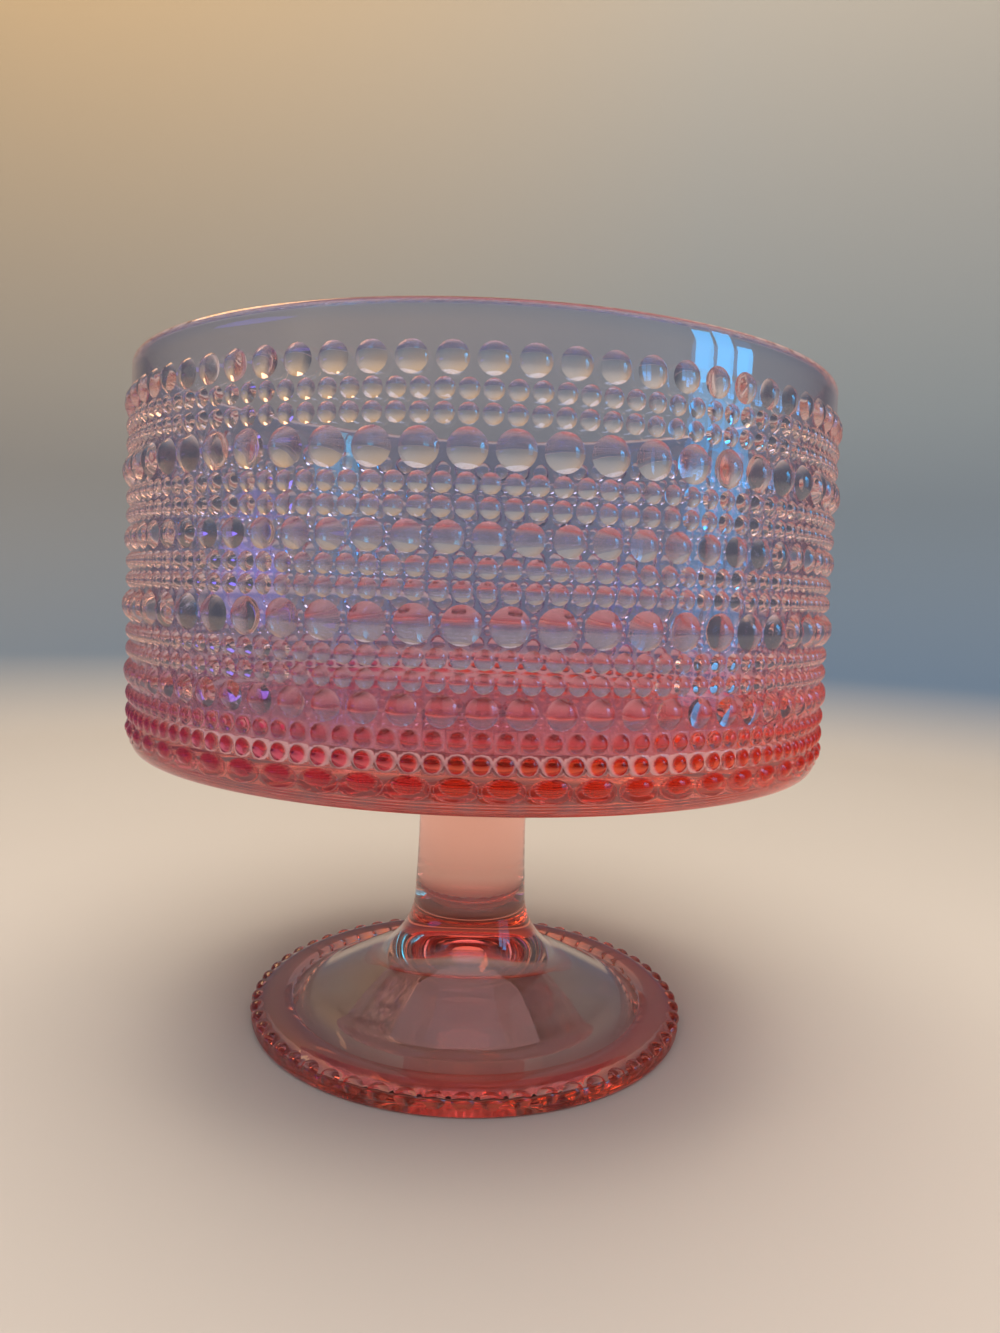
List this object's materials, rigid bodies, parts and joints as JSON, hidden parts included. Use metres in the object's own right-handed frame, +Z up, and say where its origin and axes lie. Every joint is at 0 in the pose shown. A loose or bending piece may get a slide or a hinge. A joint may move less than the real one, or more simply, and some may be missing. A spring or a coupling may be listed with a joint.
{
  "type": "trifle bowl",
  "caption": "Footed pressed-glass trifle bowl: a deep straight-sided drum covered in rows of dewdrop beads, on a solid stem with a hollow flared foot.",
  "frame": {"origin": "centre of the foot's underside, on the surface that the bowl stands on", "axes": "+Z up along the bowl's axis, out of its mouth; +X and +Y are level, and the side that the picture shows faces -Y"},
  "size_m": [0.2148, 0.2148, 0.198],
  "materials": {
    "pressed_glass": "fire-polished clear soda-lime glass with a thin iridescent pink lustre"
  },
  "bodies": {
    "root": {"bowl": "pressed_glass", "pedestal": "pressed_glass"}
  },
  "joints": []
}
